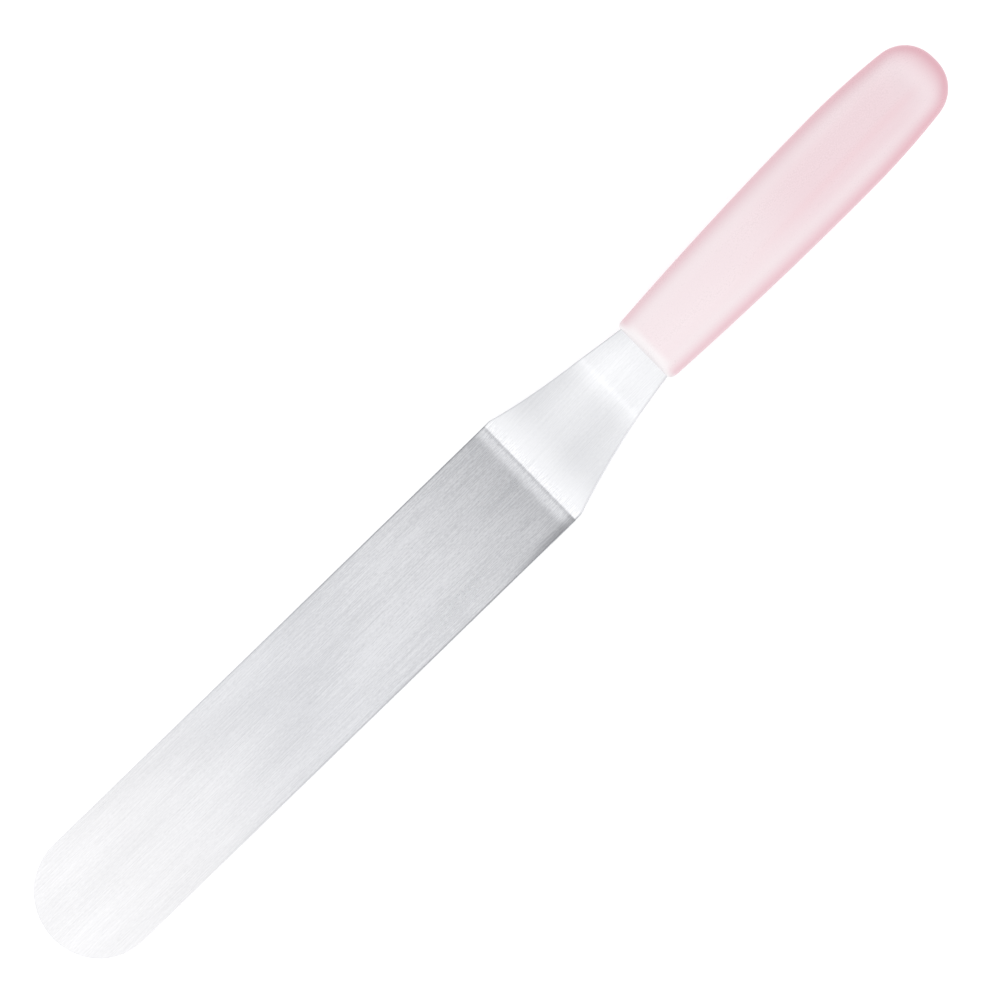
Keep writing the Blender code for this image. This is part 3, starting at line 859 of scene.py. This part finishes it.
# %% Painted panel shade, flow mark and painted butt highlight
# painted shade: the panel is a painted darker reflection of the dark area straight above
PANEL_STARTS = (40 * MM, 62 * MM)  # distances from the front face, as in all the zones along the handle
PANEL_ENDS = (86 * MM, 103 * MM)
PANEL_SIDES = (4.5 * MM, 10.5 * MM)
PANEL_SHADE_SHARE = 0.42
FLOW_MARK_OFFSET = 4.6 * MM
FLOW_MARK_SLANT = 0.018
FLOW_MARK_SIDES = (0.0, 2.2 * MM)
FLOW_MARK_SHARE = 0.26
FLOW_MARK_STARTS = (25 * MM, 66 * MM)
FLOW_MARK_ENDS = (92 * MM, 102 * MM)
# painted highlight: a pale crescent ahead of the butt
GLOW_STARTS = (93 * MM, 102 * MM)
GLOW_SHARE = 0.48
GLOW_ENDS = (102 * MM, 107 * MM)
GLOW_AT_BUTT = 0.3
GLOW_BOW = 30 * MM  # off the middle line the glow lies nearer to the front by across² / this


def painted_panel_shade_mask(tree, along, across):
    """Painted shade of the panel: from the middle to just short of the butt, and over half of the handle's
    width.
    """
    starts = between(tree, along, *PANEL_STARTS)
    ends = between(tree, along, *PANEL_ENDS, 1.0, 0.0)
    width = between(tree, maths(tree, "ABSOLUTE", across), *PANEL_SIDES, 1.0, 0.0)
    return times(tree, starts, ends, width)


def flow_mark_mask(tree, along, across):
    """A thin mark beside the middle line, slanting slightly, strongest behind the middle of the handle."""
    drift = plus(tree, across, FLOW_MARK_OFFSET, times(tree, along, -FLOW_MARK_SLANT))
    width = between(tree, maths(tree, "ABSOLUTE", drift), *FLOW_MARK_SIDES, FLOW_MARK_SHARE, 0.0)
    starts = between(tree, along, *FLOW_MARK_STARTS)
    ends = between(tree, along, *FLOW_MARK_ENDS, 1.0, 0.0)
    return times(tree, starts, ends, width)


def butt_highlight_mask(tree, along, across):
    """A painted highlight: a pale crescent ahead of the butt, fading again right at its end."""
    bowed = plus(tree, along, times(tree, across, across, 1 / GLOW_BOW))
    starts = between(tree, bowed, *GLOW_STARTS, 0.0, GLOW_SHARE)
    return times(tree, starts, between(tree, bowed, *GLOW_ENDS, 1.0, GLOW_AT_BUTT))


# %% Pink of the broad faces
# painted shade: the pink grows deeper towards the rear, as the light falls off along the handle
REAR_ZONE = (4 * MM, 78 * MM)
REAR_SHADE_SHARE = 0.6
FLOW_SHARE = 0.08
# painted highlight: a pale ridge where the skin leans a little to the sides
RIDGE_LEAN = (0.14, 0.36)
RIDGE_FADES = (75 * MM, 92 * MM)
RIDGE_SHARE = 0.28
RIDGE_BY_BUTT = 0.10
# painted highlight: the domed front is paler where it faces the light from the tip side
DOME_DEPTH = (1.9 * MM, 4.6 * MM)
DOME_LEAN = (0.15, 0.60)
DOME_AT_SIDES = 0.4


def broad_pink(tree, along, across, to_side, flow):
    """Painted shade deeper to the rear and in the panel, painted highlights on the ridges, by the butt and on
    the dome.
    """
    back = between(tree, along, *REAR_ZONE, 0.0, REAR_SHADE_SHARE)
    panel = times(tree, painted_panel_shade_mask(tree, along, across), PANEL_SHADE_SHARE)
    back = plus(tree, back, panel, times(tree, flow, FLOW_SHARE))
    pink = blend(tree, back, FRONT_PINK, SHADED_REAR_PINK)
    ridge = between(tree, along, *RIDGE_FADES, RIDGE_SHARE, RIDGE_BY_BUTT)
    ridge = times(tree, between(tree, to_side, *RIDGE_LEAN), ridge)
    pink = blend(tree, ridge, pink, RIDGE_HIGHLIGHT_PINK)
    pink = blend(tree, butt_highlight_mask(tree, along, across), pink, BUTT_HIGHLIGHT_PINK)
    dome = between(tree, along, *DOME_DEPTH, 1.0, 0.0)
    dome = times(tree, dome, between(tree, to_side, *DOME_LEAN, 1.0, DOME_AT_SIDES))
    return blend(tree, dome, pink, DOME_HIGHLIGHT_PINK)


# %% Pink of the whole skin
# painted highlight: the lip, leaning towards the blade, is palest
LIP_LEAN = (0.45, 0.9)
# painted shade: right at the neck, where the front face meets the steel
JOINT_LEAN = (0.990, 1.0)
# painted shade: sides, butt and underside are a fuller pink where the skin turns away from the light above
BUTT_ZONE = (50 * MM, 100 * MM)
SIDE_LEAN = (0.35, 1.0)
SIDES_START = (0.3 * MM, 2.8 * MM)
SIDES_DEEPEN = (6 * MM, 30 * MM)
SIDES_BY_FRONT = 0.84


def skin_pink(tree, along, to_side, to_blade, broad):
    """The broad pink, with a painted highlight on the lip, painted shade over sides, butt and underside, and
    at the neck.
    """
    broad = blend(tree, between(tree, to_blade, *LIP_LEAN), broad, LIP_HIGHLIGHT_PINK)
    sides = blend(tree, between(tree, along, *BUTT_ZONE), SHADED_SIDE_PINK, SHADED_BUTT_PINK)
    on_side = times(tree, between(tree, to_side, *SIDE_LEAN), between(tree, along, *SIDES_START))
    on_side = times(tree, on_side, between(tree, along, *SIDES_DEEPEN, SIDES_BY_FRONT, 1.0))
    skin = blend(tree, on_side, broad, sides)
    return blend(tree, between(tree, to_blade, *JOINT_LEAN), skin, JOINT_SHADE_PINK)


# %% Plastic material
FLOW_SIZE = (60 * MM, 5 * MM, 8 * MM)
PIT_SIZE = (0.35 * MM, 0.35 * MM, 0.35 * MM)
PIT_SHADE = 0.018
PLASTIC_ROUGHNESS = 0.28
GRAIN_ROUGHENS = 0.012
PLASTIC_RELIEF = 0.02


def finish_plastic():
    """Pinks by place and lean with painted shade and highlights, a panel and a flow mark, and fine grain in
    colour, roughness and relief.
    """
    material, tree, shader = new_material("pink_plastic")
    place = put(tree, "Attribute", attribute_name="on_grip").outputs["Vector"]
    to_side = put(tree, "Attribute", attribute_name="lean_to_side").outputs["Fac"]
    to_blade = put(tree, "Attribute", attribute_name="lean_to_blade").outputs["Fac"]
    along, across, _ = put(tree, "SeparateXYZ", {0: place}).outputs
    flow = grain(tree, place, FLOW_SIZE, 2.0)
    pits = grain(tree, place, PIT_SIZE, 2.0)
    broad = broad_pink(tree, along, across, to_side, flow)
    skin = skin_pink(tree, along, to_side, to_blade, broad)
    colour = blend(tree, flow_mark_mask(tree, along, across), skin, FLOW_PINK)
    pitted = put(tree, "HueSaturation", {"Color": colour})
    tree.links.new(plus(tree, 1.0, times(tree, pits, PIT_SHADE)), pitted.inputs["Value"])
    tree.links.new(pitted.outputs[0], shader.inputs["Base Color"])
    roughness = plus(tree, PLASTIC_ROUGHNESS, times(tree, flow, GRAIN_ROUGHENS))
    roughness = plus(tree, roughness, times(tree, pits, GRAIN_ROUGHENS))
    tree.links.new(roughness, shader.inputs["Roughness"])
    relief = put(tree, "Bump", {"Strength": PLASTIC_RELIEF, "Distance": RELIEF_HEIGHT, "Height": pits})
    tree.links.new(relief.outputs[0], shader.inputs["Normal"])
    return material


# %% The handle's mesh
plastic = finish_plastic()
grip = handle_rows()
lean_to_side, lean_to_blade = leaning(*grip)
handle_notes = {
    "on_grip": np.stack(grip, axis=-1),
    "lean_to_side": lean_to_side,
    "lean_to_blade": lean_to_blade,
}
handle = mesh_from_rings("handle_shell", on_handle(*grip), plastic, handle_notes)
print("handle:", len(handle.data.polygons), "faces,", len(plastic.node_tree.nodes), "nodes in its plastic")

# %% [markdown]
# ## The table
#
# A plain pale table. The photograph's background is pure white. A white table under enough light would
# be white too, but so much light would bleach the knife. So the table's own colour stays a light grey,
# which sends a little light up under the knife as a real table does, and to the camera, and to rays that
# a piece mirrors or lets through, it glows just enough to come out white.

# %% Table
TABLE_SIZE = 3.0
TABLE_GREY = (0.8, 0.8, 0.8, 1.0)
TABLE_ROUGHNESS = 0.9
TABLE_GLOW = 0.38
WHITE = (1.0, 1.0, 1.0, 1.0)


def build_table():
    """One square face at the height of nothing, which the blade rests on."""
    mesh = bpy.data.meshes.new("table")
    half = TABLE_SIZE / 2
    corners = [(-half, -half, 0.0), (half, -half, 0.0), (half, half, 0.0), (-half, half, 0.0)]
    mesh.from_pydata(corners, [], [(0, 1, 2, 3)])
    table = bpy.data.objects.new("table", mesh)
    bpy.context.scene.collection.objects.link(table)
    material, tree, shader = new_material("pale_table")
    shader.inputs["Base Color"].default_value = TABLE_GREY
    shader.inputs["Roughness"].default_value = TABLE_ROUGHNESS
    shader.inputs["Specular IOR Level"].default_value = 0.0
    shader.inputs["Emission Color"].default_value = WHITE
    rays = put(tree, "LightPath").outputs
    seen = maths(tree, "MAXIMUM", rays["Is Camera Ray"], rays["Is Glossy Ray"])
    seen = maths(tree, "MAXIMUM", seen, rays["Is Transmission Ray"])
    tree.links.new(times(tree, seen, TABLE_GLOW), shader.inputs["Emission Strength"])
    mesh.materials.append(material)
    return table


table = build_table()
print("table:", TABLE_SIZE, "m square")

# %% [markdown]
# ## What the steel mirrors
#
# Polished metal has hardly a colour of its own: it shows the room. The photograph's steel is darkest just
# before the heel, which mirrors the dark camera straight above, and grows lighter towards the tip, which
# mirrors the ceiling further off. The bends flash white, where they sweep past a bright panel. Lamps and
# cards round the knife could do this, but each of them would light the plastic as well. A drawn room that
# only mirrored rays see can be steered by itself.
#
# So the world gives mirrored rays a studio drawn by a few curves. One is the brightness by the angle from
# straight above towards the tip or the butt. The room dims a little towards both sides. Two more curves
# put a bright panel on either side of the handle, for the soft streaks on its plastic. Those panels reach
# only a little way towards the tip and the butt, so that the steel stays grey when it is looked at from
# elsewhere. All other rays get one even brightness, which lights the colours as they are written.

# %% Studio curves
OVERHEAD = (  # degrees from straight above, minus towards the butt and plus towards the tip, and brightness
    (-90, 0.60), (-60, 0.68), (-40, 0.78), (-28, 0.78),  # low over the handle
    (-18, 0.35), (-12, 0.11), (-9, 0.09), (-1.2, 0.133),  # the dark camera, over the heel
    (-0.2, 0.375), (0.4, 0.74), (1.0, 1.02), (1.7, 1.08), (2.4, 0.925), (3.2, 0.70),  # over the back half
    (4.0, 0.59), (4.8, 0.66), (5.8, 0.834), (7.0, 0.986), (8.5, 1.06), (10.5, 1.05),  # and the front half
    (13, 1.03), (22, 1.06),  # over the neck and the handle
    (27, 1.11), (33, 1.15), (36, 1.16), (39, 1.11), (42, 1.10), (44.5, 1.05),  # the panel that the step shows
    (47, 0.924), (50, 0.80), (56, 0.69), (64, 0.70), (76, 0.74), (90, 0.68),  # low beyond the tip
)
CAMERA_SIDE_PANEL = ((0, 0.0), (22, 0.0), (36, 0.5), (50, 0.6), (60, 0.5), (80, 0.45), (90, 0.3))
FAR_SIDE_PANEL = ((0, 0.0), (18, 0.0), (32, 0.6), (44, 0.6), (62, 0.0), (90, 0.0))
PANEL_BRIGHTNESS = 1.6
EVEN_LIGHT = 0.91
DIM_CEILING = (0.958, 0.98, 1.045, 1.0)  # the colour of the room where it is dim, a cool grey
ROOM_DIMS = (14.0, 44.0)  # degrees to either side
OVERHEAD_GAIN = 1.1
SIDEWAYS_GAIN = 0.76
PANELS_START = (-22.0, -6.0)  # degrees towards the tip, as overhead
PANELS_END = (24.0, 38.0)
WHITENING = (0.5, 1.05)


def curve_over(tree, value, points):
    """A smooth curve through (angle, brightness) points, scaled to the node's own range of nothing to one."""
    node = put(tree, "FloatCurve")
    curve = node.mapping.curves[0]
    low, high = points[0][0], points[-1][0]
    top = max(brightness for _, brightness in points)
    while len(curve.points) < len(points):
        curve.points.new(0.5, 0.5)
    for spot, (angle, brightness) in zip(curve.points, points):
        spot.location = ((angle - low) / (high - low), brightness / top)
        spot.handle_type = "AUTO_CLAMPED"
    node.mapping.update()
    share = maths(tree, "DIVIDE", maths(tree, "SUBTRACT", value, low), high - low)
    tree.links.new(share, node.inputs["Value"])
    return times(tree, node.outputs["Value"], top)


def lean_of(tree, component):
    """Degrees by which a direction leans along an axis: the arcsine of its part along it."""
    return maths(tree, "DEGREES", maths(tree, "ARCSINE", component))


# %% Studio world
def build_studio():
    """The world: white to the camera, drawn panels to mirrored rays, and one brightness to all others."""
    world = bpy.data.worlds.new("studio")
    world.use_nodes = True
    tree = world.node_tree
    direction = put(tree, "SeparateXYZ", {0: put(tree, "TexCoord").outputs["Generated"]}).outputs
    to_tip = lean_of(tree, times(tree, direction["X"], -1.0))
    sideways = lean_of(tree, direction["Y"])
    near = curve_over(tree, times(tree, sideways, -1.0), CAMERA_SIDE_PANEL)
    far = curve_over(tree, sideways, FAR_SIDE_PANEL)
    from_middle = maths(tree, "ABSOLUTE", sideways)
    room_dims = between(tree, from_middle, *ROOM_DIMS, OVERHEAD_GAIN, SIDEWAYS_GAIN)
    overhead = times(tree, curve_over(tree, to_tip, OVERHEAD), room_dims)
    beside_handle = between(tree, to_tip, *PANELS_START)
    beside_handle = times(tree, beside_handle, between(tree, to_tip, *PANELS_END, 1.0, 0.0))
    panels = times(tree, plus(tree, near, far), beside_handle)
    mirrored = put(tree, "Mix", {"Factor": panels, "A": overhead, "B": PANEL_BRIGHTNESS}).outputs[0]
    rays = put(tree, "LightPath").outputs
    lit = put(tree, "Mix", {"Factor": rays["Is Glossy Ray"], "A": EVEN_LIGHT, "B": mirrored}).outputs[0]
    shown = put(tree, "Mix", {"Factor": rays["Is Camera Ray"], "A": lit, "B": 1.0}).outputs[0]
    background = tree.nodes["Background"]
    whiteness = between(tree, shown, *WHITENING)
    tree.links.new(blend(tree, whiteness, DIM_CEILING, WHITE), background.inputs["Color"])
    tree.links.new(shown, background.inputs["Strength"])
    bpy.context.scene.world = world


build_studio()
print("studio:", len(OVERHEAD), "points from", OVERHEAD[0][0], "to", OVERHEAD[-1][0], "degrees")

# %% [markdown]
# ## One soft lamp
#
# A large lamp, high up on the camera's side, gives the handle its gentle fall from light to shade. It is
# hidden from mirrored rays, so that it adds no second highlight to the panels drawn above.

# %% Lamp
LAMP_POWER = 2.2
LAMP_SIZE = 0.8
LAMP_PLACE = Vector((-0.35, -0.35, 1.08))
LAMP_AIM = Vector((0.1, 0.0, 0.0))


def build_lamp():
    """A soft square of light, aimed at the foot of the step."""
    data = bpy.data.lights.new("soft_box", "AREA")
    data.shape = "RECTANGLE"
    data.size = LAMP_SIZE
    data.size_y = LAMP_SIZE
    data.energy = LAMP_POWER
    lamp = bpy.data.objects.new("soft_box", data)
    lamp.location = LAMP_PLACE
    lamp.rotation_euler = (LAMP_AIM - LAMP_PLACE).to_track_quat("-Z", "Y").to_euler()
    lamp.visible_glossy = False
    bpy.context.scene.collection.objects.link(lamp)


build_lamp()
print("lamp:", round((LAMP_PLACE - LAMP_AIM).length, 2), "m away")

# %% [markdown]
# ## The camera
#
# The photograph looks down on the knife from nearly straight above, a few degrees to its near side, and
# the knife lies across the frame from corner to corner. It shows hardly any perspective, so our camera
# stands a metre off. Its lens follows from that distance and from how much of the table one pixel shows.
# We could turn it by three angles, but three directions are easier to check: the one towards the camera,
# the picture's up, and right, which is square to both.

# %% Camera
CAMERA_DISTANCE = 1.0
CAMERA_REACH = 20.0
SIDE_TILT = math.radians(6.72)
KNIFE_ANGLE = math.radians(44.0)
TABLE_PER_PIXEL = 0.2669 * MM
IMAGE_PIXELS = 1000
SENSOR_WIDTH = 36.0
AIM = Vector((0.07794, 0.00052, 0.0))


def build_camera():
    """The photograph's camera, which looks at the aim from above and a little from the near side."""
    data = bpy.data.cameras.new("camera")
    data.sensor_width = SENSOR_WIDTH
    data.lens = SENSOR_WIDTH * CAMERA_DISTANCE / (IMAGE_PIXELS * TABLE_PER_PIXEL)
    data.clip_end = CAMERA_REACH
    camera = bpy.data.objects.new("camera", data)
    toward = Vector((0.0, -math.sin(SIDE_TILT), math.cos(SIDE_TILT)))
    up = Vector((math.sin(KNIFE_ANGLE), math.cos(KNIFE_ANGLE), 0.0))
    up = (up - toward * up.dot(toward)).normalized()
    right = up.cross(toward)
    turn = Matrix((right, up, toward)).transposed()
    camera.matrix_world = Matrix.Translation(AIM + toward * CAMERA_DISTANCE) @ turn.to_4x4()
    bpy.context.scene.collection.objects.link(camera)
    bpy.context.scene.camera = camera
    return camera


camera = build_camera()
bpy.context.scene.view_settings.view_transform = "Standard"
print("lens:", round(camera.data.lens, 1), "mm")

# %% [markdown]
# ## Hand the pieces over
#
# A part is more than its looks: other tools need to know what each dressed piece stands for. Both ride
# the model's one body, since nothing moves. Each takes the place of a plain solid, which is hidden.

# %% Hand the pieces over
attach(blade, "root")
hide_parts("blade")
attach(handle, "root")
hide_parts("handle")
